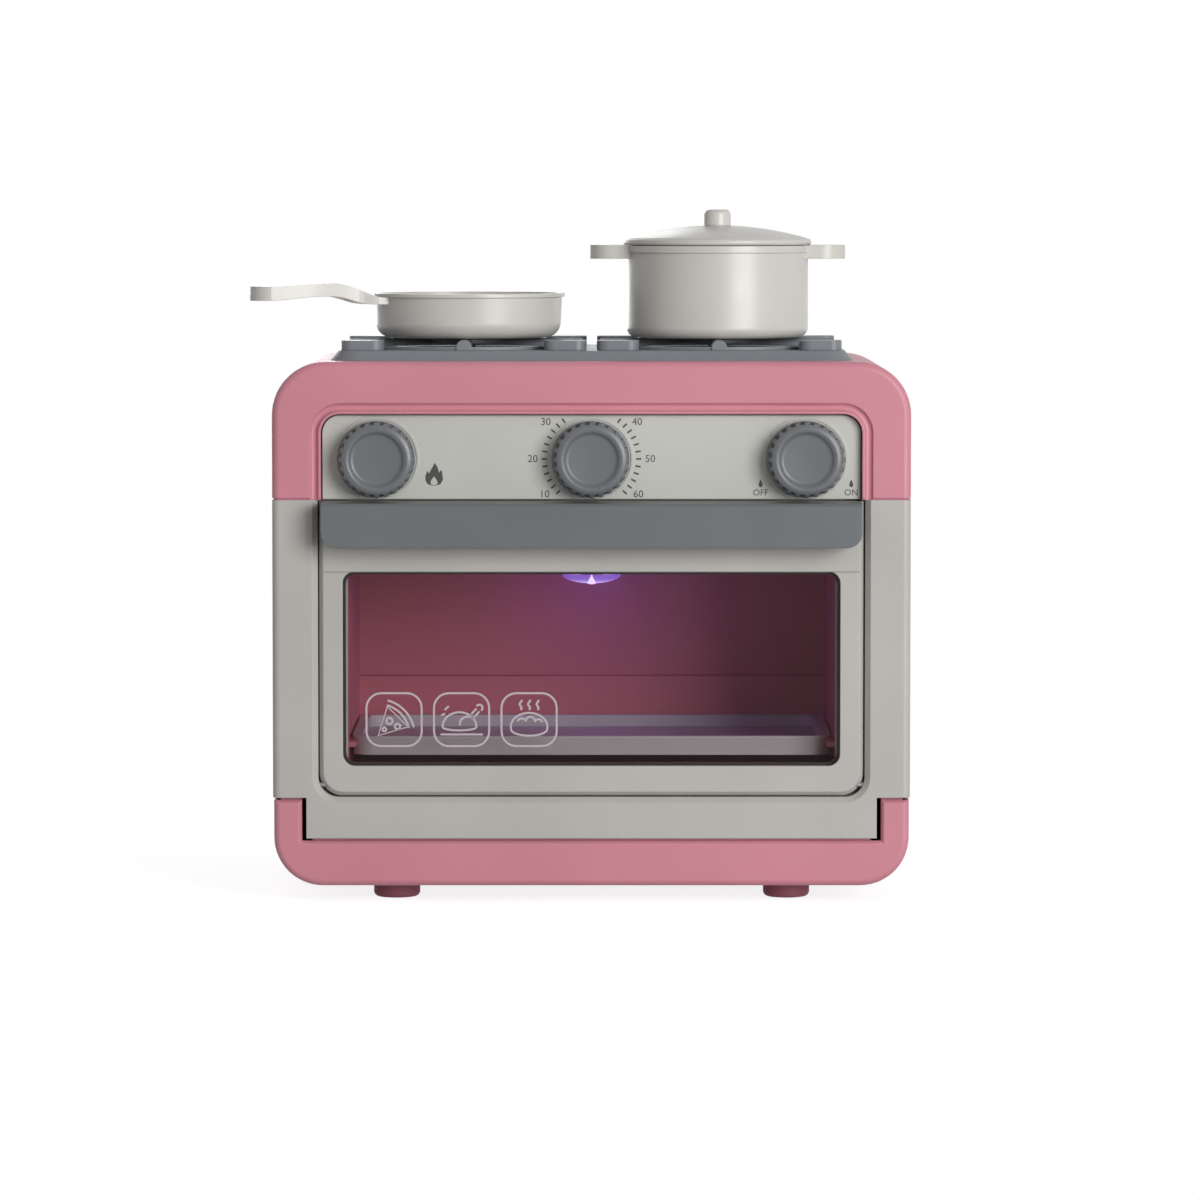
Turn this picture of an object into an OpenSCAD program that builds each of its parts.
// Toy oven with a drop-down glazed door, three knobs, a two-ring hob, a frying pan and a lidded pot.
// Inside each module x runs right from the oven's middle, y runs back from the front plane and
// z runs up from the table. place() then puts the middle of the whole set over the origin.

/* [Body] */
// Width across the side walls
body_w = 300; // [284:2:330]
// Depth from the front plane to the back
body_d = 175; // [168:1:200]
// Height of the grey housing, from the gap above the base to the seam under the shell
housing_h = 140.2; // [136:0.2:150]
// Height of the upper shell
shell_h = 64.8; // [62:0.2:72]
// Thickness of the moulded walls
wall = 2.4; // [2:0.1:2.8]
// Thickness of the front plates
front_t = 3; // [2.8:0.1:3.4]
// Radius of the shell's two top corners
corner_r = 25; // [20:1:30]
// Rounding between the front plates and the side walls
edge_r = 3.5; // [3.5:0.5:5]
// Width of the dark gap between the housing and the base
shadow_gap = 1.2; // [0.8:0.1:1.6]

/* [Base] */
// Height of the base's side walls
base_h = 40.5; // [38:0.5:46]
// Height of the base's front wall below the apron
sill_h = 21.3; // [20:0.1:24]
// How far the base stands inside the housing on each side
base_in = 0.5; // [0.3:0.1:1.5]
// Radius of the base's bottom corners
base_r = 23; // [18:1:26]
// Width of the base's front posts
horn_w = 13.2; // [12:0.1:16]
// Width of the gap between a post and the apron
post_gap = 2.1; // [1.2:0.1:2.6]
// Height of a foot below the base
foot_h = 7.9; // [5:0.1:10]
// Radius of a foot
foot_r = 11; // [9:0.5:12]
// Distance between the left and right feet
foot_span = 185; // [160:5:200]
// Distance from the front and back of the body to the feet
foot_in = 30; // [24:1:40]

/* [Door] */
// Width of the housing's front face beside the door pocket
stile_w = 21.4; // [20:0.1:24]
// Height of the apron below the door
apron_h = 19.4; // [18:0.2:22]
// Radius of the pocket's bottom corners
pocket_r = 9.4; // [8:0.2:12]
// Width of the bevel round the pocket
pocket_bevel = 2.5; // [2.4:0.1:2.8]
// Running gap round the door
door_gap = 0.6; // [0.5:0.1:1]
// How far the door stands behind the front plane
door_set = 2.5; // [2:0.1:4]
// Thickness of the closed door
door_t = 10; // [9:0.5:12]
// Thickness of the door's front frame
door_face_t = 6; // [5.5:0.1:6.5]
// Width of the door beside its window
door_side = 11; // [9:0.5:14]
// Height of the door below its window
door_foot = 14; // [13:0.5:18]
// Height of the door's top rail
rail_h = 33.2; // [31:0.2:36]
// Radius of the window's corners
window_r = 5.6; // [4:0.2:8]
// Bevel round the door's front edge, which clears the pocket's corners as the door swings down
door_bevel = 1.9; // [1.8:0.1:2.2]
// How far the hinge lies behind the door's face
hinge_in = 2.4; // [2.2:0.1:2.4]
// Height of the hinge above the door's bottom edge
hinge_up = 5; // [5:0.1:5.6]
// Thickness of the window pane
pane_t = 2; // [1.5:0.1:2.2]
// Height of the handle bar
handle_h = 20.7; // [18:0.1:22]
// How far the handle stands out of the front plane
handle_out = 16; // [14:0.5:20]
// Thickness of the handle's walls
handle_t = 3.4; // [2.5:0.1:4]
// Radius of the handle's bottom corners
handle_r = 7; // [4:0.5:8]
// Radius of a hinge pin
pin_r = 1.4; // [1:0.1:1.5]
// Running clearance of the hinge pins and the knob shafts, on the radius
run_gap = 0.05; // [0.03:0.01:0.08]

/* [Control panel] */
// Width of the shell beside the panel
panel_side = 23; // [20:0.5:26]
// Height of the shell above the panel
panel_head = 24.4; // [22:0.2:28]
// Radius of the panel's top corners
panel_r = 9; // [7:0.5:11]
// How far the panel stands behind the front plane
panel_set = 4; // [3:0.1:5]
// Radius of a knob
knob_r = 18; // [15:0.2:18.4]
// How far a knob stands out of the panel
knob_h = 13; // [10:0.5:15]
// Distance between the middles of neighbouring knobs
knob_pitch = 100.7; // [90:0.1:104]
// Height of the knobs' middles above the seam
knob_up = 19.2; // [18.8:0.1:20]
// Number of grip notches round a knob
knob_notches = 24; // [16:1:28]
// Radius of a knob's shaft
shaft_r = 3; // [2.5:0.1:3.5]

/* [Hob] */
// Width of the hob plate
hob_w = 248; // [240:1:250]
// Depth of the hob plate
hob_d = 138; // [130:1:146]
// Height of the hob plate
hob_h = 4.6; // [4:0.2:6]
// Distance between the burners
burner_pitch = 121; // [118:1:124]
// Length of a grate arm from the middle of its burner
arm_l = 57; // [50:0.5:58]
// Width of a grate arm
arm_w = 7; // [6:0.5:10]
// Width of a grate across its corner pads
grate_w = 116; // [112:0.5:117]
// Height of the grates above the hob plate
grate_h = 4.7; // [4:0.1:6]
// Radius of a burner's well
well_r = 40; // [36:0.5:42]
// Radius of a burner cap
cap_r = 17; // [14:0.5:20]

/* [Oven chamber] */
// Thickness of the liner's walls
liner_t = 2; // [1.6:0.1:2.4]
// Width of the liner beside the door pocket's edge
liner_side = 13.6; // [12:0.2:15]
// Height of the chamber's floor above the pocket's bottom
floor_up = 12.7; // [12:0.1:14]
// Height of the chamber's ceiling below the seam
ceiling_down = 31.3; // [28:0.1:34]
// Gap between the liner and the back of the oven
liner_back = 15; // [12:1:20]
// Height of the ledge on the chamber's back wall
ledge_h = 32.8; // [28:0.2:36]
// How far the ledge stands forward
ledge_d = 6; // [4:0.5:8]
// Length of the baking tray
tray_l = 124; // [110:1:126]
// Depth of the baking tray
tray_h = 7; // [5:0.2:8]
// Height of the tray's rim above the chamber's floor
tray_up = 14; // [12:0.1:15]
// Width of the tray's rim
tray_rim = 3.2; // [2.5:0.1:4]
// Thickness of the tray
tray_t = 1.4; // [1.2:0.1:1.8]
// Radius of the lamp's lens
lens_r = 5; // [4:0.5:7]

/* [Pot] */
// Radius of the pot
pot_r = 43.7; // [40:0.1:46]
// Height of the pot to its rim
pot_h = 44.2; // [38:0.1:50]
// Thickness of the walls of the pot and the pan
ware_t = 1.8; // [1.6:0.1:2.4]
// Reach of a pot handle beyond the pot
ear_out = 17.9; // [14:0.1:20]
// Thickness of a pot handle
ear_t = 6.6; // [4:0.1:7]
// Width of a pot handle
ear_w = 26; // [20:1:32]
// Height of the lid's dome above its rim
dome_h = 6.4; // [4:0.2:10]
// Radius of the lid's knob
lid_knob_r = 6.5; // [5:0.1:8]
// Height of the lid's knob
lid_knob_h = 7.6; // [6:0.2:10]

/* [Frying pan] */
// Radius of the pan at its rim
pan_r = 46.4; // [42:0.1:48]
// Height of the pan
pan_h = 21.4; // [18:0.1:26]
// Shift of the pan to the right of its burner
pan_shift = 1; // [0:0.1:3]
// Reach of the pan's handle from the middle of the pan
pan_handle_l = 110; // [95:1:120]
// Half the width of the pan handle's end
pan_handle_r = 9; // [7:0.5:10]
// Angle by which the pan's handle points forward of the left
pan_handle_turn = 21; // [0:1:30]

/* [Hidden] */
$fn = 64;

// Colours of the mouldings
pink = "#c88994";
dark_pink = "#8a5560";
light_grey = "#b8b5b0";
dark_grey = "#6d7174";
cream = "#d6d2cc";
maroon = "#7d3c4b";

// Heights above the table
base_z = foot_h;
base_top = base_z + base_h;
sill_z = base_z + sill_h;
apron_z = sill_z + shadow_gap;
housing_z = base_top + shadow_gap;
pocket_z = apron_z + apron_h;
seam_z = housing_z + housing_h;
shell_top = seam_z + shell_h;
hob_z = shell_top + hob_h;
grate_z = hob_z + grate_h;
// Gap under a piece that only stands on another one
stand_gap = 0.3;
ware_z = grate_z + stand_gap;

// Base
base_w = body_w - 2*base_in;
base_d = body_d - 2*base_in;
base_edge = 3;
base_bevel = 1.3;
plate_lap = 1;
notch_w = base_w - 2*horn_w;
apron_w = notch_w - 2*post_gap;
floor_z = base_z + wall;
post_d = 8;
foot_round = min(2.5, foot_h/2);
stud_r = 3;
stud_l = 6;

// Tongues that lap behind the neighbouring moulding
tongue_t = 1.6;
tongue_gap = 0.3;
tongue_down = 4;
tongue_up = 3;
tongue_in = 12;
tongue_root = 0.4;

// The thin lines between the shell and the housing and between the halves of the door's front
seam_line_h = 0.8;
seam_line_d = 0.8;
rail_line = 0.45;

// Screws and their bosses
screw_r = 1.4;
screw_fit = 0.2;
screw_head_r = 3;
screw_head_fit = 0.3;
screw_head_t = 1.6;
screw_end = 0.5;
boss_r = 4.2;
boss_l = 14;
well_t = 5;
well_r_out = 5;
pilot_l = 10;
base_screw_side = 14;
base_screw_in = 11;
base_screw_l = well_t - screw_head_t + pilot_l - screw_end;
rear_screw_x = body_w/2 - wall - boss_r - 2.8;
rear_screw_z = [housing_z + 22, seam_z - 14, seam_z + 24];

// Back cover, its loudspeaker and its circuit board
cover_fit = 0.3;
cover_w = body_w - 2*wall - 2*cover_fit;
column_up = 10;
speaker_r = 20;
speaker_x = 75;
speaker_z = seam_z + 20;
speaker_flange_t = 2;
speaker_ring_h = 4;
speaker_fit = 0.2;
cone_d = 6;
cone_r = 12;
magnet_r = 10;
grille_rings = 3;
grille_pitch = 4.5;
grille_r = 1.2;
board_w = 70;
board_h = 40;
board_t = 1.6;
board_x = -60;
board_z = seam_z + 20;
board_gap = 6;
board_in = 4;
board_pin_r = 1.2;
chip_r = 6;
chip_t = 1.6;
chip_x = -8;
chip_z = -6;
plug_x = 8;
plug_z = -9;
plug_size = [14, 8, 5];
capacitors = 4;
capacitor_r = 2.5;
capacitor_h = 8;
capacitor_x = -24;
capacitor_z = 10;
capacitor_pitch = 7;

// Door
pocket_w = body_w - 2*stile_w;
pocket_d = door_set + door_t + door_gap;
door_w = pocket_w - 2*door_gap;
door_z = pocket_z + door_gap;
door_top = seam_z - 0.8;
rail_z = door_top - rail_h;
hinge_y = door_set + hinge_in;
hinge_z = door_z + hinge_up;
// The door's corners are rounder than the pocket's, which they pass in front of as the door opens
door_r = pocket_r + 1.6;
window_w = door_w - 2*door_side;
window_z = door_z + door_foot;
window_up = 0.3;
pane_lap = 3;
pane_fit = 0.2;
pane_w = window_w + 2*pane_lap;
pane_z = window_z - pane_lap;
pane_top = rail_z + 2*pane_lap;
pane_y = door_set + door_face_t - pane_t - pane_fit;
inner_y = door_set + door_face_t;
inner_z = door_z + 10.4;
inner_in = 0.4;
rail_face_t = 3;
rail_end = door_side - pane_lap - pane_fit;
door_screw_x = door_w/2 - 5;
door_screw_z = [inner_z + 6, rail_z - 24, rail_z + 20];
door_pilot_l = 5;
door_screw_y = door_set + door_t - screw_head_t - 0.4;
handle_w = door_w - 3;
handle_top = door_top - 0.1;
handle_z = handle_top - handle_h;
handle_bevel = 1.5;
pin_in = 12;
pin_out = 5;
pin_end = 0.5;
lug_h = 8;
lug_wall = 2;

// Chamber
mouth_w = pocket_w - 2*liner_side;
// The base's screws stand beside the mouth, nearer to the middle
base_screw_x = mouth_w/2 - base_screw_side - boss_r;
mouth_r = 4;
floor_up_z = pocket_z + floor_up;
ceiling_z = seam_z - ceiling_down;
liner_y = pocket_d + wall;
liner_end = body_d - liner_back;
tray_gap = 1.2;
tray_w = mouth_w - 2*tray_gap;
tray_r = 8;
tray_z = floor_up_z + tray_up;
tray_end = liner_end - liner_t - ledge_d - 1;
tray_y = tray_end - tray_l;
runner_w = tray_gap + 2.4;
runner_t = 2.6;
runner_z = tray_z - tray_t - stand_gap;
lamp_y = liner_y + 29;
lamp_drop = 6;
lamp_base_z = ceiling_z - lamp_drop;
lens_l = 3;
led_r = 2.5;
led_l = 5;
led_board_t = 1.6;
holder_r = lens_r + 2;
holder_up = 3;
holder_rim = 3;

// Control panel
opening_w = body_w - 2*panel_side;
opening_top = shell_top - panel_head;
lip_t = 1.8;
lip_d = 9;
groove_in = 3.1;
groove_r = 2;
groove_d = 1.5;
panel_fit = 0.7;
panel_w = opening_w - 2*panel_fit;
panel_z = seam_z + 0.4;
panel_top = opening_top - panel_fit;
flange_w = 3;
knob_z = seam_z + knob_up;
knob_gap = 0.8;
notch_r = 1.2;
crown_r = knob_r - notch_r - 0.1;
crown_h = 3;
crown_bevel = 1.2;
dish_r = 12.2;
dish_d = 2;
dish_slope = 0.5;
collar_r = 20;
collar_w = 1.4;
collar_h = 0.4;
shaft_l = 14;
unit_d = 14;
unit_r = 12;
timer_d = 20;
timer_r = 16;
unit_ear = 4;
unit_ear_t = 2.4;

// Hob
burner_y = body_d/2;
hob_taper = 4;
hob_corner = 16;
peg_x = 100;
peg_y = 50;
peg_r = 3;
peg_down = 1;
well_d = 2.5;
grate_peg_r = 1.5;
grate_peg_in = 8;
grate_peg_l = 2;
ring_r = 14;
ring_w = 6;
ring_h = 2.4;
arm_slope = 1;
arm_rise = 0.6;
arm_round = 3;
pad_w = 20;
pad_r = 5;
low_ring_r = 56;
low_ring_w = 5;
low_ring_h = 1.6;

// Battery box: three cells side by side
cell_r = 7.1;
cell_l = 50;
cell_nub_r = 2.6;
cell_nub_l = 1;
cells = 3;
cell_pitch = 15.2;
cell_lift = 0.3;
contact_t = 0.8;
contact_reach = 1.6;
case_t = 1.6;
bay_w = cells*cell_pitch;
bay_l = cell_l + 2*(contact_t + contact_reach);
bay_fit = 0.2;
tab_w = 12;
tab_l = 9;
case_w = bay_w + 2*case_t;
case_l = bay_l + 2*case_t;
case_h = 2*cell_r + 3;
block_w = tab_w + 4;
block_h = 9;
case_x = -50;
case_y = 70;
cover_screw_y = case_y + bay_l/2 + tab_l/2 + 0.5;

// Pot and lid
pot_foot = 5;
rim_h = 3.3;
rim_out = 0.9;
ear_drop = 6.3;
ear_r = 12;
lid_r = pot_r + 1.5;
lid_fit = 0.5;
lid_z = ware_z + pot_h + stand_gap;
lid_rim_h = 3;
lid_round = 1.2;
lid_ring_r = pot_r - ware_t - lid_fit;
lid_ring_h = 2.4;
dome_chord = lid_r - 1;
dome_r = (dome_chord*dome_chord + dome_h*dome_h)/(2*dome_h);
dome_mid = lid_rim_h + dome_h - dome_r;
lid_knob_round = 2.5;
lid_peg_r = 2.5;
lid_peg_l = 3;

// Frying pan and its handle. The handle leaves the wall under the lip as a thin tab, rises and
// thickens to the grip, and dips a little towards its end.
pan_foot = 7.5;
pan_foot_r = pan_r - 9.3;
pan_lip_w = 1.1;
pan_lip_t = 1.8;
pan_x = -burner_pitch/2 + pan_shift;
tab_t = 3.4;
grip_t = 6.3;
end_t = 6.9;
tab_half = 10;
waist_half = 7.5;
handle_root = pan_r + 0.3;
handle_rise = 5.4;
handle_rise_l = 25;
handle_dip = 1.6;
handle_dip_l = 28;
handle_dip_from = pan_handle_l - 34;
handle_steps = 24;

// The middle of the whole set, which the pan's handle and the door's handle reach past the body
pan_reach = (pan_handle_l - pan_handle_r)*cos(pan_handle_turn) + pan_handle_r - pan_x;
mid_x = (pan_reach - body_w/2)/2;
mid_y = (handle_out - body_d)/2;

module place() translate([mid_x, mid_y, 0]) children();

// Both sides of the oven
module both() for (s = [0, 1]) mirror([s, 0, 0]) children();

// A slab of a flat shape that is drawn as seen from the front, from depth y over thickness t
module slab(y, t) translate([0, y + t, 0]) rotate([90, 0, 0]) linear_extrude(t) children();

// A bar along x with a flat section that is drawn as seen from the right: depth, then height
module bar(w) translate([-w/2, 0, 0]) rotate([90, 0, 90]) linear_extrude(w) children();

// A front view with its two top corners rounded
module arch_shape(w, z0, z1, r) {
    translate([-w/2, z0]) square([w, z1 - r - z0]);
    translate([-w/2 + r, z0]) square([w - 2*r, z1 - z0]);
    for (s = [-1, 1]) translate([s*(w/2 - r), z1 - r]) intersection() {
        circle(r);
        translate([-r, 0]) square([2*r, r]);
    }
}

// The same with its two bottom corners rounded
module cup_shape(w, z0, z1, r) translate([0, z0 + z1]) mirror([0, 1]) arch_shape(w, z0, z1, r);

// The same with all four corners rounded
module round_shape(w, z0, z1, r) {
    translate([-w/2, z0 + r]) square([w, z1 - z0 - 2*r]);
    translate([-w/2 + r, z0]) square([w - 2*r, z1 - z0]);
    for (s = [-1, 1], z = [z0 + r, z1 - r]) translate([s*(w/2 - r), z]) circle(r);
}

// Carries a flat section up one side, over the top and down the other side of an arch in the front
// view. In the section +x points out of the arch and +y is depth.
module arch(w, z0, z1, r) {
    both() {
        translate([w/2, 0, z0]) linear_extrude(z1 - r - z0) children();
        translate([w/2 - r, 0, z1 - r]) rotate([-90, 0, 0]) rotate([0, 0, -90])
            rotate_extrude(angle = 90) translate([r, 0]) children();
    }
    translate([w/2 - r, 0, z1]) rotate([0, -90, 0]) linear_extrude(w - 2*r) children();
}

// The same under a cup: down one side, along the bottom and up the other side
module cup(w, z0, z1, r) translate([0, 0, z0 + z1]) mirror([0, 0, 1]) arch(w, z0, z1, r) children();

// Section of a moulded side wall that bends into a front plate and runs a little way into it
module wall_section(r, d) {
    translate([-r - plate_lap, 0]) square([plate_lap + 0.1, wall]);
    translate([-r, r]) intersection() {
        difference() {
            circle(r);
            circle(r - wall);
        }
        translate([0, -r]) square(r);
    }
    translate([-wall, r]) square([wall, d - r]);
}

// A screw with a pan head, drawn head down along +z
module screw(l) {
    translate([0, 0, -screw_head_t]) cylinder(h = screw_head_t, r = screw_head_r);
    cylinder(h = l, r = screw_r);
}

// The hole through a plate for such a screw, with its counterbore
module screw_hole(l) {
    translate([0, 0, -screw_head_t - 1]) cylinder(h = screw_head_t + 1, r = screw_head_r + screw_head_fit);
    translate([0, 0, -screw_head_t - 1]) cylinder(h = l + screw_head_t + 2, r = screw_r + screw_fit);
}

// Places of the screws that come up through the base
module base_screw_places() both() for (y = [base_screw_in, body_d - base_screw_in])
    translate([base_screw_x, y, 0]) children();

// Places of the feet
module foot_places() both() for (y = [foot_in, body_d - foot_in])
    translate([foot_span/2, y, 0]) children();

// Places of the screws of the back cover, on the housing's bosses and on the shell's
module rear_screw_places() both() for (z = rear_screw_z) translate([rear_screw_x, 0, z]) children();

// Places of the screws that hold the two halves of the door together
module door_screw_places() both() for (z = door_screw_z) translate([door_screw_x, 0, z]) children();

// ---- Base ----

// A tub with two raised posts at the front, on four feet
module base_tray() color(pink) place() difference() {
    union() {
        translate([0, base_in, 0]) {
            cup(base_w, base_z, base_top, base_r) wall_section(base_edge, base_d);
            slab(0, front_t) difference() {
                cup_shape(base_w - 2*base_edge, base_z + base_edge, base_top, base_r - base_edge);
                translate([-notch_w/2, sill_z]) square([notch_w, base_h]);
            }
            slab(base_d - wall, wall)
                cup_shape(base_w - 2*wall, base_z + wall, base_top, base_r - wall);
            both() translate([notch_w/2, 0, sill_z]) cube([wall, post_d, base_top - sill_z]);
        }
        front_tongues();
        base_screw_places() translate([0, 0, base_z]) cylinder(h = well_t, r = well_r_out);
        foot_places() translate([0, 0, base_z]) cylinder(h = stud_l, r = stud_r + 2);
    }
    hull() {
        slab(base_in - 1, 1) translate([-notch_w/2 - base_bevel, sill_z - base_bevel])
            square([notch_w + 2*base_bevel, base_h]);
        slab(base_in, base_bevel) translate([-notch_w/2, sill_z]) square([notch_w, base_h]);
    }
    bar(base_w + 2) translate([base_in, base_top]) mirror([0, 1]) bevel_section(base_bevel);
    base_screw_places() translate([0, 0, base_z + screw_head_t]) screw_hole(well_t);
    foot_places() translate([0, 0, base_z - 1]) cylinder(h = stud_l + 2, r = stud_r);
    translate([0, 0, base_z - 1]) linear_extrude(wall + 2) bay_shape(0);
}

// Tongues from the base's front wall and posts, which reach up behind the apron and the housing
module front_tongues() translate([0, front_t + tongue_gap, 0]) {
    translate([-apron_w/2 + wall + tongue_gap, 0, sill_z - tongue_up])
        cube([apron_w - 2*(wall + tongue_gap), tongue_t, tongue_up + shadow_gap + tongue_down]);
    both() translate([notch_w/2, 0, base_top - tongue_up])
        cube([horn_w - base_edge, tongue_t, tongue_up + shadow_gap + tongue_down]);
}

// Rubber feet, pressed into the base by their studs
module rubber_feet() color(dark_pink) place() foot_places() {
    rotate_extrude() {
        square([foot_r - foot_round, foot_h]);
        translate([0, foot_round]) square([foot_r, foot_h - foot_round]);
        translate([foot_r - foot_round, foot_round]) circle(foot_round);
    }
    translate([0, 0, foot_h]) cylinder(h = stud_l, r = stud_r);
}

// Screws that hold the base to the housing and to the back cover
module base_screws() color("silver") place()
    base_screw_places() translate([0, 0, base_z + screw_head_t]) screw(base_screw_l);

// The hole that such a screw cuts in its boss
module base_pilot() translate([0, 0, base_z]) cylinder(h = well_t + pilot_l, r = screw_r);

// ---- Housing ----

// A tongue from the inside of the side walls, face x from the middle, past the seam at z.
// It points up with s = 1 and down with s = -1.
module side_tongue(x, z, s) both() slab(tongue_in, body_d - 2*tongue_in) polygon([
    [body_w/2 - wall + tongue_root, z - tongue_up*s], [body_w/2 - wall + tongue_root, z],
    [x, z], [x, z + tongue_down*s],
    [x - tongue_t, z + tongue_down*s], [x - tongue_t, z - tongue_up*s]]);

// A cut at 45 degrees along a front edge
module bevel_section(b) polygon([[-1, -1], [b + 1, -1], [-1, b + 1]]);

// Bosses on the side walls that take the back cover's screws
module rear_bosses(heights) both() for (z = heights)
    translate([rear_screw_x, body_d - well_t, z]) rotate([90, 0, 0]) {
        cylinder(h = boss_l, r = boss_r);
        translate([0, -wall/2, 0]) cube([body_w/2 - wall + tongue_root - rear_screw_x, wall, boss_l]);
    }

module rear_pilots() rear_screw_places() translate([0, body_d - well_t + 1, 0])
    rotate([90, 0, 0]) cylinder(h = pilot_l + 1, r = screw_r);

// The grey moulding with the door pocket in its front
module housing() color(light_grey) place() difference() {
    union() {
        both() translate([body_w/2, 0, housing_z]) linear_extrude(housing_h)
            wall_section(edge_r, body_d);
        slab(0, front_t) difference() {
            union() {
                translate([-body_w/2 + edge_r, housing_z]) square([body_w - 2*edge_r, housing_h]);
                translate([-apron_w/2, apron_z]) square([apron_w, housing_z - apron_z]);
            }
            cup_shape(pocket_w, pocket_z, seam_z + 1, pocket_r);
        }
        cup(pocket_w, pocket_z, seam_z, pocket_r) square([wall, liner_y]);
        slab(pocket_d, wall) difference() {
            cup_shape(pocket_w + wall, pocket_z - wall/2, seam_z, pocket_r + wall/2);
            round_shape(mouth_w, floor_up_z, ceiling_z, mouth_r);
        }
        both() {
            translate([pocket_w/2 + wall/2, hinge_y - lug_h/2, hinge_z - lug_h/2])
                cube([pin_out + lug_wall - wall/2, lug_h, lug_h]);
            translate([apron_w/2 - wall, 0, apron_z]) cube([wall, post_d, housing_z - apron_z]);
            translate([base_screw_x, base_screw_in, base_z + well_t])
                cylinder(h = pocket_z - wall/2 - base_z - well_t, r = boss_r);
        }
        side_tongue(body_w/2 - wall - tongue_gap, seam_z, 1);
        side_tongue(base_w/2 - wall - tongue_gap, housing_z, -1);
        rear_bosses([for (z = rear_screw_z) if (z < seam_z) z]);
    }
    cup(pocket_w, pocket_z, seam_z + 1, pocket_r) bevel_section(pocket_bevel);
    both() translate([pocket_w/2 + pin_out + pin_end, hinge_y, hinge_z]) rotate([0, -90, 0])
        cylinder(h = pin_out + pin_end + 3, r = pin_r + run_gap);
    both() translate([base_screw_x, base_screw_in, 0]) base_pilot();
    rear_pilots();
}

// ---- Upper shell ----

// Plan of the body's front and sides, which goes on past the back
module body_plan() cup_shape(body_w, 0, 2*body_d, edge_r);

// The pink hood over the control panel, with a grooved lip round the panel's opening
module upper_shell() color(pink) place() difference() {
    union() {
        arch(body_w, seam_z, shell_top, corner_r) wall_section(edge_r, body_d);
        slab(0, front_t) difference() {
            arch_shape(body_w - 2*edge_r, seam_z, shell_top - edge_r, corner_r - edge_r);
            arch_shape(opening_w, seam_z - 1, opening_top, panel_r);
        }
        arch(opening_w, seam_z, opening_top, panel_r) square([lip_t, lip_d]);
        rear_bosses([for (z = rear_screw_z) if (z > seam_z) z]);
    }
    arch(opening_w, seam_z - 1, opening_top, panel_r)
        translate([groove_in, groove_d - groove_r]) circle(groove_r);
    translate([0, 0, seam_z - 1]) linear_extrude(1 + seam_line_h) difference() {
        translate([-body_w/2 - 1, -1]) square([body_w + 2, body_d + 2]);
        offset(delta = -seam_line_d) body_plan();
    }
    rear_pilots();
    hob_peg_places() translate([0, 0, shell_top - wall - peg_down])
        cylinder(h = wall + 2*peg_down, r = peg_r);
}

// ---- Back ----

// The back cover, with the grille of the loudspeaker and the posts of the circuit board
module rear_cover() color(light_grey) place() difference() {
    union() {
        slab(body_d - wall, wall)
            arch_shape(cover_w, housing_z, shell_top - wall - cover_fit, corner_r - wall - cover_fit);
        rear_screw_places() translate([0, body_d - well_t, 0]) rotate([-90, 0, 0])
            cylinder(h = well_t, r = boss_r);
        both() translate([base_screw_x, body_d - base_screw_in, base_z + well_t]) {
            cylinder(h = housing_z + column_up - base_z - well_t, r = boss_r);
            translate([-wall/2, 0, housing_z - base_z - well_t])
                cube([wall, base_screw_in, column_up]);
        }
        speaker_place() difference() {
            cylinder(h = speaker_ring_h, r = speaker_r + speaker_fit + wall);
            translate([0, 0, -1]) cylinder(h = speaker_ring_h + 2, r = speaker_r + speaker_fit);
        }
        board_posts() {
            cylinder(h = board_gap, r = 2*board_pin_r);
            cylinder(h = board_gap + board_t + 1, r = board_pin_r);
        }
    }
    rear_screw_places() translate([0, body_d - screw_head_t, 0]) rotate([90, 0, 0]) screw_hole(well_t);
    both() translate([base_screw_x, body_d - base_screw_in, 0]) base_pilot();
    speaker_place() for (ring = [0:grille_rings], i = [0:max(6*ring, 1) - 1])
        rotate(i*60/max(ring, 1)) translate([ring*grille_pitch, 0, -wall - 1])
            cylinder(h = wall + 2, r = grille_r, $fn = 24);
}

// The inner face of the back cover behind the loudspeaker, facing forward
module speaker_place() translate([speaker_x, body_d - wall, speaker_z]) rotate([90, 0, 0]) children();

// The same at the four corners of the circuit board
module board_posts() for (x = [-1, 1], z = [-1, 1])
    translate([board_x + x*(board_w/2 - board_in), body_d - wall, board_z + z*(board_h/2 - board_in)])
        rotate([90, 0, 0]) children();

module rear_screws() color("silver") place() rear_screw_places()
    translate([0, body_d - screw_head_t, 0]) rotate([90, 0, 0])
        screw(well_t - screw_head_t + pilot_l - screw_end);

// Loudspeaker: steel flange, basket and magnet
module speaker() color("dimgray") place() speaker_place() {
    cylinder(h = speaker_flange_t, r = speaker_r);
    translate([0, 0, speaker_flange_t])
        cylinder(h = cone_d, r1 = speaker_r - speaker_flange_t, r2 = cone_r);
    translate([0, 0, speaker_flange_t + cone_d]) cylinder(h = cone_d, r = magnet_r);
}

// Circuit board with its sound chip, a plug and a row of capacitors
module circuit_board() color("darkgreen") place() difference() {
    translate([board_x, body_d - wall - board_gap, board_z]) rotate([90, 0, 0]) {
        translate([-board_w/2, -board_h/2, 0]) cube([board_w, board_h, board_t]);
        translate([chip_x, chip_z, board_t]) cylinder(h = chip_t, r = chip_r);
        translate([plug_x, plug_z, board_t]) cube(plug_size);
        for (i = [0:capacitors - 1]) translate([capacitor_x + capacitor_pitch*i, capacitor_z, board_t])
            cylinder(h = capacitor_h, r = capacitor_r);
    }
    board_posts() translate([0, 0, board_gap - 1]) cylinder(h = board_t + 2, r = board_pin_r);
}

// ---- Oven chamber ----

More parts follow.
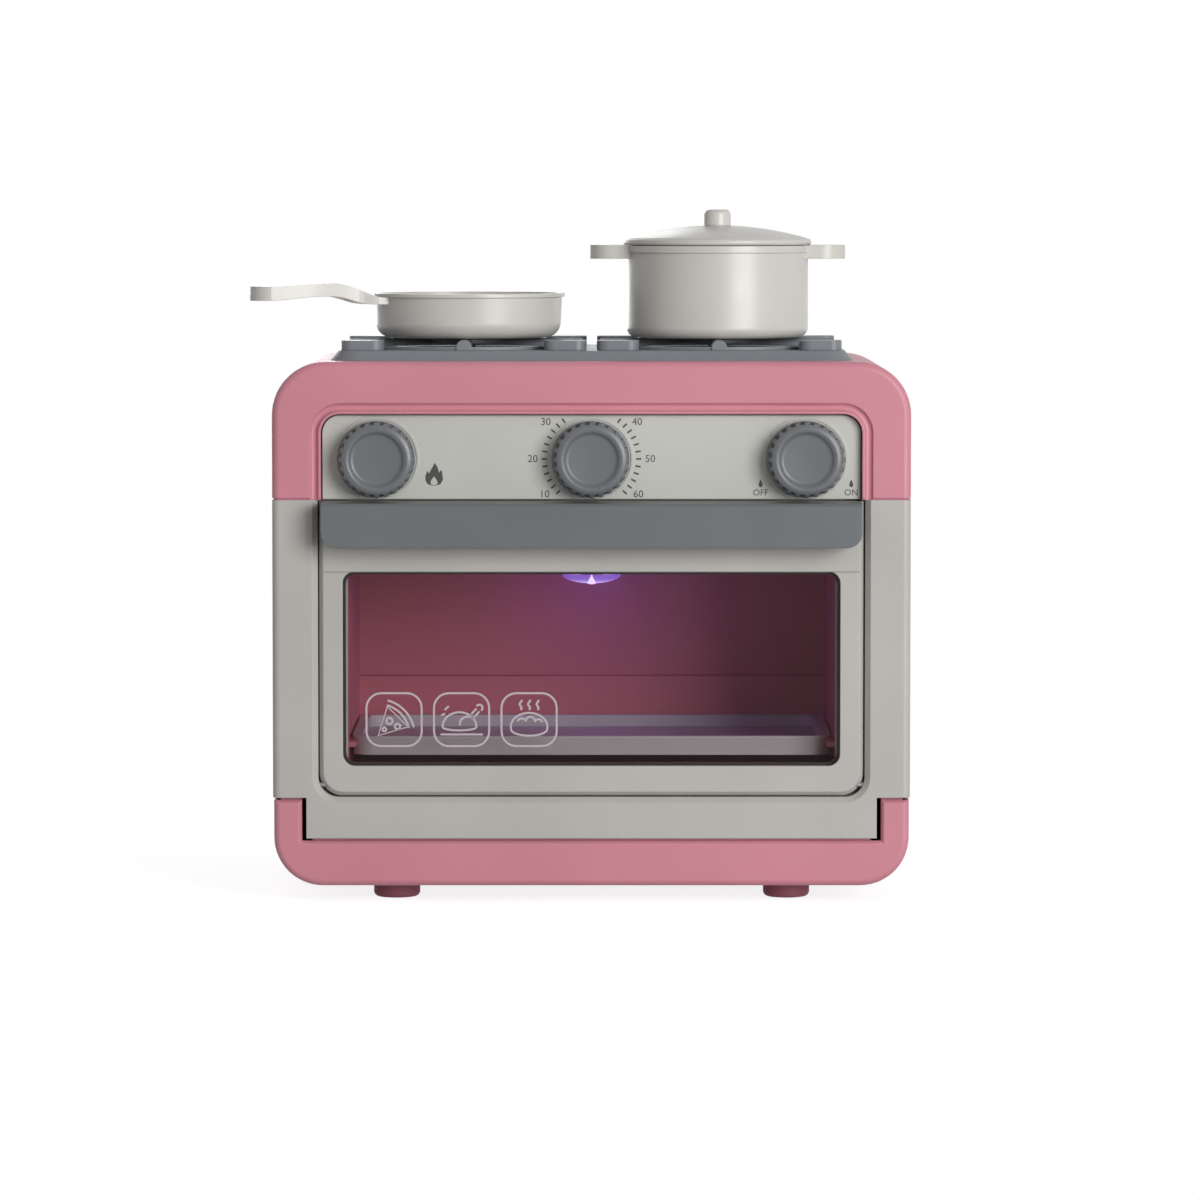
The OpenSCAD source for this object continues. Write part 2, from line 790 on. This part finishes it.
// A box that is open at the front, with runners for the tray and a ledge across its back
module oven_liner() color(maroon) place() {
    difference() {
        translate([-mouth_w/2 - liner_t, liner_y, floor_up_z - liner_t])
            cube([mouth_w + 2*liner_t, liner_end - liner_y, ceiling_z - floor_up_z + 2*liner_t]);
        translate([-mouth_w/2, liner_y - 1, floor_up_z])
            cube([mouth_w, liner_end - liner_y - liner_t + 1, ceiling_z - floor_up_z]);
        translate([0, lamp_y, ceiling_z - 1]) cylinder(h = liner_t + 2, r = holder_r);
    }
    translate([-mouth_w/2, liner_end - liner_t - ledge_d, floor_up_z]) cube([mouth_w, ledge_d, ledge_h]);
    both() translate([mouth_w/2 - runner_w, liner_y, runner_z - runner_t])
        cube([runner_w, liner_end - liner_t - ledge_d - liner_y, runner_t]);
}

// Lamp socket in the chamber's ceiling
module lamp_holder() color(maroon) place() translate([0, lamp_y, 0]) difference() {
    union() {
        translate([0, 0, lamp_base_z]) cylinder(h = lamp_drop + liner_t + holder_up, r = holder_r);
        translate([0, 0, ceiling_z + liner_t]) cylinder(h = holder_up - 1, r = holder_r + holder_rim);
    }
    translate([0, 0, lamp_base_z - 1]) cylinder(h = lamp_drop + liner_t + holder_up + 2, r = lens_r);
}

// Half-round lens at the lower end of the socket
module lamp_lens() color("lavender") place() translate([0, lamp_y, lamp_base_z]) {
    intersection() {
        sphere(lens_r);
        translate([-lens_r, -lens_r, -lens_r]) cube([2*lens_r, 2*lens_r, lens_r]);
    }
    cylinder(h = lens_l, r = lens_r);
}

// Light-emitting diode on its round board
module lamp_led() color("white") place() translate([0, lamp_y, lamp_base_z + lens_l]) {
    cylinder(h = led_l, r = led_r);
    translate([0, 0, led_l]) cylinder(h = led_board_t, r = lens_r);
}

// The baking tray, which hangs by its rim on the runners
module baking_tray() color("dimgray") place() {
    translate([0, 0, tray_z - tray_t]) linear_extrude(tray_t) difference() {
        round_shape(tray_w, tray_y, tray_end, tray_r + tray_rim);
        tray_plan(tray_t);
    }
    translate([0, 0, tray_z - tray_h]) difference() {
        linear_extrude(tray_h) tray_plan(0);
        translate([0, 0, tray_t]) linear_extrude(tray_h) tray_plan(tray_t);
    }
}

module tray_plan(in) round_shape(tray_w - 2*tray_rim - 2*in, tray_y + tray_rim + in,
    tray_end - tray_rim - in, tray_r - in);

// ---- Control panel ----

// The panel behind the shell's opening. Its rim laps behind the shell's lip.
module control_panel() color(light_grey) place() difference() {
    union() {
        slab(panel_set, wall) arch_shape(panel_w, panel_z, panel_top, panel_r - panel_fit);
        arch(panel_w, panel_z, panel_top, panel_r - panel_fit) {
            translate([-wall, panel_set]) square([wall, lip_d + wall - panel_set]);
            translate([-wall, lip_d]) square([wall + panel_fit + lip_t + flange_w, wall]);
        }
        translate([-panel_w/2, panel_set, panel_z]) cube([panel_w, liner_y - panel_set, wall]);
        slab(panel_set - collar_h, 2*collar_h) intersection() {
            arch_shape(panel_w, panel_z, panel_top, panel_r - panel_fit);
            for (i = [-1:1]) translate([i*knob_pitch, knob_z]) difference() {
                circle(collar_r);
                circle(collar_r - collar_w);
            }
        }
    }
    for (i = [-1:1]) knob_place(i) translate([0, 0, -1]) cylinder(h = wall + 2, r = shaft_r + 0.6);
}

// The panel's front under a knob: from left to right burner -1, timer 0, power 1. It faces back.
module knob_place(i) translate([i*knob_pitch, panel_set, knob_z]) rotate([-90, 0, 0]) children();

// A knob with notches round its grip and a dished face, on its shaft
module knob(i) color(dark_grey) place() knob_place(i) mirror([0, 0, 1]) difference() {
    union() {
        translate([0, 0, knob_gap]) linear_extrude(knob_h - knob_gap - crown_h) difference() {
            circle(knob_r);
            for (n = [0:knob_notches - 1]) rotate((n + 0.5)*360/knob_notches)
                translate([knob_r, 0]) circle(notch_r, $fn = 24);
        }
        rotate_extrude() polygon([
            [0, knob_h - crown_h - 1], [crown_r, knob_h - crown_h - 1],
            [crown_r, knob_h - crown_bevel], [crown_r - crown_bevel, knob_h], [0, knob_h]]);
        translate([0, 0, -shaft_l]) cylinder(h = shaft_l + knob_gap + 1, r = shaft_r);
    }
    translate([0, 0, knob_h - dish_d])
        cylinder(h = 2*dish_d, r1 = dish_r - dish_slope, r2 = dish_r + dish_slope);
}

module burner_knob() knob(-1);
module timer_knob() knob(0);
module power_knob() knob(1);

// The case of a rotary switch or of the clockwork timer, on the back of the panel
module rotary_unit(i, r, d) color("ivory") place() knob_place(i) difference() {
    union() {
        translate([0, 0, wall]) cylinder(h = d, r = r);
        translate([-r - unit_ear, -unit_ear, wall]) cube([2*(r + unit_ear), 2*unit_ear, unit_ear_t]);
    }
    translate([0, 0, wall - 1]) cylinder(h = shaft_l - wall + 1 + pin_end, r = shaft_r + run_gap);
}

module burner_switch() rotary_unit(-1, unit_r, unit_d);
module timer_unit() rotary_unit(0, timer_r, timer_d);
module power_switch() rotary_unit(1, unit_r, unit_d);

// ---- Door ----

// Side view of the door: below the hinge its front and its back are rounded about the hinge
module door_side_view() {
    translate([door_set, hinge_z]) square([door_t, door_top - hinge_z]);
    translate([hinge_y, hinge_z]) {
        intersection() {
            circle(hinge_up);
            translate([-hinge_in, -hinge_up]) square([hinge_in, hinge_up]);
        }
        intersection() {
            circle(door_t - hinge_in);
            translate([0, -hinge_up]) square([door_t - hinge_in, hinge_up]);
        }
    }
}

// The whole door's outer form between two heights, with its front edge bevelled at 45 degrees.
// The front view ends a little below the side view, which alone then shapes the bottom edge.
module door_part(z0, z1) difference() {
    intersection() {
        slab(door_set, door_t) cup_shape(door_w, door_z - 0.1, door_top, door_r);
        bar(door_w + 2) door_side_view();
        translate([-body_w/2, 0, z0]) cube([body_w, body_d, z1 - z0]);
    }
    cup(door_w, door_z, door_top + 1, door_r)
        translate([0, door_set]) mirror([1, 0]) bevel_section(door_bevel);
}

module door_screw_pilots() door_screw_places() translate([0, inner_y + 1, 0])
    rotate([90, 0, 0]) cylinder(h = door_pilot_l + 1, r = screw_r);

// The door's opening for the window, whose rounded top reaches a little above the top rail's seam
module window_hole() slab(0, body_d) round_shape(window_w, window_z, rail_z + window_up, window_r);

// The thin V-shaped line across the door's front where the top rail begins
module rail_groove() bar(door_w + 2) translate([door_set, rail_z]) circle(rail_line, $fn = 4);

// Front of the door below the top rail, with the hinge foot and the rebate for the pane
module door_frame() color(light_grey) place() difference() {
    door_part(base_z, rail_z);
    window_hole();
    slab(pane_y, body_d)
        cup_shape(pane_w + 2*pane_fit, pane_z - pane_fit, rail_z + 1, window_r + pane_lap);
    slab(inner_y, body_d) translate([-body_w/2, inner_z]) square([body_w, door_top - inner_z]);
    rail_groove();
    door_screw_pilots();
    both() translate([door_w/2 - pin_in, hinge_y, hinge_z]) rotate([0, 90, 0])
        cylinder(h = pin_in + 1, r = pin_r);
}

// Top rail of the door, a hollow moulding of its own that carries the handle
module door_top_rail() color(light_grey) place() difference() {
    door_part(rail_z, door_top);
    slab(inner_y, body_d) translate([-body_w/2, rail_z - 1]) square([body_w, rail_h + 2]);
    slab(door_set + rail_face_t, body_d) translate([-door_w/2 + rail_end, rail_z - 1])
        square([door_w - 2*rail_end, rail_h + 1 - wall]);
    rail_groove();
    door_screw_pilots();
}

// Back of the door, screwed on from inside, which holds the pane
module door_inner_frame() color(light_grey) place() difference() {
    slab(inner_y, door_t - door_face_t) translate([-door_w/2 + inner_in, inner_z])
        square([door_w - 2*inner_in, door_top - inner_z]);
    window_hole();
    door_screw_places() translate([0, door_screw_y, 0]) rotate([90, 0, 0]) screw_hole(door_t);
}

// Smoked pane of the window
module door_window() color("gray", 0.4) place()
    slab(pane_y + pane_fit/2, pane_t) cup_shape(pane_w, pane_z, pane_top, window_r + pane_lap);

module door_screws() color("silver") place() door_screw_places()
    translate([0, door_screw_y, 0]) rotate([90, 0, 0])
        screw(door_screw_y - inner_y + door_pilot_l - screw_end);

// A grip bar that is hollow behind and open below, for the fingers
module door_handle() color(dark_grey) place() difference() {
    slab(-handle_out, handle_out + door_set) cup_shape(handle_w, handle_z, handle_top, handle_r);
    slab(-handle_out + handle_t, handle_out + door_set) translate([-handle_w/2 + handle_t, handle_z - 1])
        square([handle_w - 2*handle_t, handle_h + 1 - handle_t]);
    bar(handle_w + 2) translate([-handle_out, handle_top]) mirror([0, 1]) bevel_section(handle_bevel);
}

// Steel pins, fast in the door, that turn in the housing's lugs
module hinge_pins() color("silver") place()
    both() translate([door_w/2 - pin_in, hinge_y, hinge_z]) rotate([0, 90, 0])
        cylinder(h = pin_in + door_gap + pin_out, r = pin_r);

// ---- Hob ----

// Places of the pegs under the hob plate, which pass through the shell
module hob_peg_places() translate([0, burner_y, 0])
    for (x = [-1, 1], y = [-1, 1]) translate([x*peg_x, y*peg_y, 0]) children();

// The middle of a burner: left -1, right 1
module burner_place(s) translate([s*burner_pitch/2, burner_y, 0]) children();

// The plate on top of the shell, with a round well under each burner
module hob_plate() color(dark_grey) place() difference() {
    union() {
        hull() for (x = [-1, 1], y = [-1, 1])
            translate([x*(hob_w/2 - hob_corner), burner_y + y*(hob_d/2 - hob_corner), shell_top])
                cylinder(h = hob_h, r1 = hob_corner, r2 = hob_corner - hob_taper, $fn = 32);
        hob_peg_places() translate([0, 0, shell_top - wall - peg_down])
            cylinder(h = wall + 2*peg_down, r = peg_r);
    }
    for (s = [-1, 1]) burner_place(s) {
        translate([0, 0, hob_z - well_d]) cylinder(h = well_d + 1, r = well_r);
        arms() translate([arm_l - grate_peg_in, 0, hob_z - grate_peg_l])
            cylinder(h = grate_peg_l + 1, r = grate_peg_r);
    }
}

module arms() for (a = [0:90:270]) rotate(a) children();

// Four arms with rounded tops between two rings, and four pads that stand on the outer ring. It is
// pegged to the hob plate.
module grate(s) color(dark_grey) place() burner_place(s) {
    arms() {
        intersection() {
            translate([0, arm_w/2, 0]) rotate([90, 0, 0]) linear_extrude(arm_w) polygon([
                [ring_r, grate_z - ring_h], [well_r - ring_h, hob_z + arm_rise],
                [well_r + arm_rise, hob_z + arm_rise], [well_r + arm_rise, hob_z], [arm_l, hob_z],
                [arm_l - arm_slope, grate_z], [ring_r, grate_z]]);
            rotate([90, 0, 90]) linear_extrude(arm_l) arch_shape(arm_w, shell_top, grate_z, arm_round);
        }
        translate([arm_l - grate_peg_in, 0, hob_z - grate_peg_l])
            cylinder(h = grate_peg_l + 1, r = grate_peg_r);
        translate([grate_w/2 - pad_w/2, 0, hob_z]) linear_extrude(grate_h)
            round_shape(pad_w, grate_w/2 - pad_w, grate_w/2, pad_r);
    }
    translate([0, 0, hob_z]) linear_extrude(low_ring_h) difference() {
        circle(low_ring_r);
        circle(low_ring_r - low_ring_w);
    }
    translate([0, 0, grate_z - ring_h]) rotate_extrude()
        translate([ring_r - ring_w/2, 0]) square([ring_w, ring_h - 0.4]);
}

module left_grate() grate(-1);
module right_grate() grate(1);

// A stepped cap with flame slots, in the middle of the well
module burner_cap(s) color("dimgray") place() burner_place(s) translate([0, 0, hob_z - well_d]) {
    cylinder(h = 1.2, r = cap_r + 1.6);
    linear_extrude(well_d - 0.3) difference() {
        circle(cap_r);
        for (i = [0:15]) rotate(i*22.5) translate([cap_r, 0]) circle(1.2, $fn = 16);
    }
    cylinder(h = well_d + 0.5, r = cap_r - 3);
}

module left_burner_cap() burner_cap(-1);
module right_burner_cap() burner_cap(1);

// ---- Battery box ----

// Plan of the battery bay with the tab for its screw, drawn in on all sides by a fit
module bay_shape(in) {
    translate([case_x - bay_w/2 + in, case_y - bay_l/2 + in]) square([bay_w - 2*in, bay_l - 2*in]);
    translate([case_x - tab_w/2 + in, case_y]) square([tab_w - 2*in, bay_l/2 + tab_l - in]);
}

// The axis of each cell, in turn facing forward and back
module cell_places() for (i = [0:cells - 1])
    translate([case_x + (i - (cells - 1)/2)*cell_pitch, case_y, floor_z + cell_lift + cell_r])
        rotate([90 + 180*i, 0, 0]) children();

module cover_screw_place() translate([case_x, cover_screw_y, base_z + screw_head_t]) children();

// The box over the battery bay, open below, with a block for the cover's screw
module battery_case() color("black") place() difference() {
    union() {
        translate([case_x - case_w/2, case_y - case_l/2, floor_z]) cube([case_w, case_l, case_h]);
        translate([case_x - block_w/2, case_y, floor_z])
            cube([block_w, bay_l/2 + tab_l + case_t, block_h]);
    }
    translate([case_x - bay_w/2, case_y - bay_l/2, floor_z - 1])
        cube([bay_w, bay_l, case_h + 1 - case_t]);
    cover_screw_place() cylinder(h = wall + pilot_l - 4, r = screw_r);
}

module batteries() color("goldenrod") place() cell_places() {
    translate([0, 0, -cell_l/2]) cylinder(h = cell_l - cell_nub_l, r = cell_r);
    translate([0, 0, -cell_l/2]) cylinder(h = cell_l, r = cell_nub_r);
}

// Contact plates at both ends of the cells, with a stud for each cell
module battery_contacts() color("silver") place() {
    for (s = [0, 1]) translate([0, case_y, 0]) mirror([0, s, 0]) translate([0, -case_y, 0])
        translate([case_x - bay_w/2 + 1, case_y + bay_l/2 - contact_t, floor_z + 1])
            cube([bay_w - 2, contact_t, 2*cell_r - 2]);
    cell_places() for (s = [0, 1]) mirror([0, 0, s]) translate([0, 0, cell_l/2])
        cylinder(h = contact_reach + contact_t/2, r = cell_nub_r);
}

// The lid of the battery bay, flush with the underside and held by one screw
module battery_cover() color(pink) place() difference() {
    translate([0, 0, base_z]) linear_extrude(wall) bay_shape(bay_fit);
    cover_screw_place() screw_hole(wall);
}

module battery_screw() color("silver") place() cover_screw_place() screw(wall + pilot_l - 5);

// ---- Cookware ----

// Half section of a straight bowl with a rounded foot
module bowl_half(r, h, foot) {
    square([r - foot, h]);
    translate([0, foot]) square([r, h - foot]);
    translate([r - foot, foot]) circle(foot);
}

// The pot, with a thicker rim and two flat handles that stand clear of the lid
module pot() color(cream) place() burner_place(1) translate([0, 0, ware_z]) difference() {
    union() {
        rotate_extrude() bowl_half(pot_r, pot_h, pot_foot);
        translate([0, 0, pot_h - rim_h]) cylinder(h = rim_h, r = pot_r + rim_out);
        translate([0, 0, pot_h - ear_drop]) linear_extrude(ear_t)
            rotate(90) round_shape(ear_w, -pot_r - ear_out, pot_r + ear_out, ear_r);
    }
    translate([0, 0, ware_t]) rotate_extrude() bowl_half(pot_r - ware_t, pot_h + ear_t, pot_foot - ware_t);
    translate([0, 0, pot_h]) cylinder(h = ear_t, r = lid_r + lid_fit);
}

// The flat circle that the lid's dome is turned from, lowered by a wall
module dome_circle(down) translate([0, dome_mid - down]) circle(dome_r, $fn = 360);

// The lid: a rounded rim, a dome and a ring that drops inside the pot
module pot_lid() color(cream) place() burner_place(1) translate([0, 0, lid_z]) difference() {
    rotate_extrude() difference() {
        union() {
            square([lid_r - lid_round, lid_rim_h]);
            translate([0, lid_round]) square([lid_r, lid_rim_h - 2*lid_round]);
            for (z = [lid_round, lid_rim_h - lid_round])
                translate([lid_r - lid_round, z]) circle(lid_round);
            intersection() {
                dome_circle(0);
                translate([0, 1]) square([dome_chord - 1, lid_rim_h + dome_h]);
            }
            translate([lid_ring_r - ware_t, -lid_ring_h]) square([ware_t, lid_ring_h + 1]);
        }
        intersection() {
            dome_circle(ware_t);
            translate([0, -1]) square([lid_ring_r - ware_t, lid_rim_h + dome_h]);
        }
    }
    cylinder(h = 2*(lid_rim_h + dome_h), r = lid_peg_r);
}

// The lid's knob, with a peg that goes through the dome
module lid_knob() color(cream) place() burner_place(1) translate([0, 0, lid_z]) {
    rotate_extrude() difference() {
        translate([0, lid_rim_h + dome_h + lid_knob_h]) mirror([0, 1])
            bowl_half(lid_knob_r, lid_knob_h + 1, lid_knob_round);
        dome_circle(0);
    }
    translate([0, 0, lid_rim_h + dome_h - lid_peg_l]) cylinder(h = lid_peg_l + 1, r = lid_peg_r);
}

module pan_place() translate([pan_x, burner_y, ware_z]) children();

// Half section of the pan's outer form, or of its inside when it is drawn in by a wall
module pan_half(in) {
    polygon([[0, in], [pan_foot_r, in], [pan_foot_r + pan_foot - in, pan_foot],
        [pan_r - pan_lip_w - in, pan_h + in], [0, pan_h + in]]);
    translate([pan_foot_r, pan_foot]) circle(pan_foot - in);
}

// The frying pan, with a flat lip round its rim
module frying_pan() color(cream) place() pan_place() difference() {
    union() {
        rotate_extrude() pan_half(0);
        translate([0, 0, pan_h - pan_lip_t]) cylinder(h = pan_lip_t, r = pan_r);
    }
    rotate_extrude() pan_half(ware_t);
}

function reversed(list) = [for (i = [len(list) - 1:-1:0]) list[i]];

// A smooth step from 0 to 1
function step(t) = let (u = max(0, min(1, t))) u*u*(3 - 2*u);

// Height of the middle of the pan's handle, its thickness and half its width, at a distance l
// from the middle of the pan
function handle_mid(l) = pan_h - pan_lip_t - tab_t/2 + handle_rise*step((l - handle_root)/handle_rise_l)
    - handle_dip*step((l - handle_dip_from)/handle_dip_l);
function handle_thick(l) = tab_t + (grip_t - tab_t)*step((l - handle_root)/(handle_rise_l/2))
    + (end_t - grip_t)*step((l - handle_dip_from)/handle_dip_l);
function handle_half(l) = tab_half + (waist_half - tab_half)*step((l - handle_root)/(handle_rise_l/2))
    + (pan_handle_r - waist_half)*step((l - handle_root - handle_rise_l/2)/handle_rise_l);

// Distances from the middle of the pan at which the handle's outlines have points, up to l1
function handle_stations(l1) = concat([pan_foot_r],
    [for (i = [0:handle_steps]) handle_root + (l1 - handle_root)*i/handle_steps]);

// Upper or lower line of the handle's side view, and right or left line of its plan, without the tip
function handle_side(s) = [for (l = handle_stations(pan_handle_l))
    [l, handle_mid(l) + s*handle_thick(l)/2]];
function handle_plan(s) = concat(
    [for (l = handle_stations(pan_handle_l - pan_handle_r)) [l, s*handle_half(l)]],
    [for (a = [10:10:80]) [pan_handle_l - pan_handle_r*(1 - sin(a)), s*pan_handle_r*cos(a)]]);

// The pan's handle: its side view cut by its plan, and by the pan that it seats on
module pan_handle() color(cream) place() pan_place() difference() {
    rotate(180 + pan_handle_turn) intersection() {
        translate([0, tab_half + 1, 0]) rotate([90, 0, 0]) linear_extrude(2*(tab_half + 1))
            polygon(concat(handle_side(1), reversed(handle_side(-1))));
        linear_extrude(2*pan_h)
            polygon(concat(handle_plan(1), [[pan_handle_l, 0]], reversed(handle_plan(-1))));
    }
    rotate_extrude() pan_half(0);
}

base_tray();
housing();
upper_shell();
rear_cover();
control_panel();
oven_liner();
door_frame();
door_top_rail();
door_inner_frame();
door_window();
door_handle();
hinge_pins();
burner_knob();
timer_knob();
power_knob();
burner_switch();
timer_unit();
power_switch();
hob_plate();
left_grate();
right_grate();
left_burner_cap();
right_burner_cap();
baking_tray();
lamp_holder();
lamp_led();
lamp_lens();
circuit_board();
speaker();
battery_case();
batteries();
battery_contacts();
battery_cover();
rubber_feet();
base_screws();
rear_screws();
door_screws();
battery_screw();
pot();
pot_lid();
lid_knob();
frying_pan();
pan_handle();
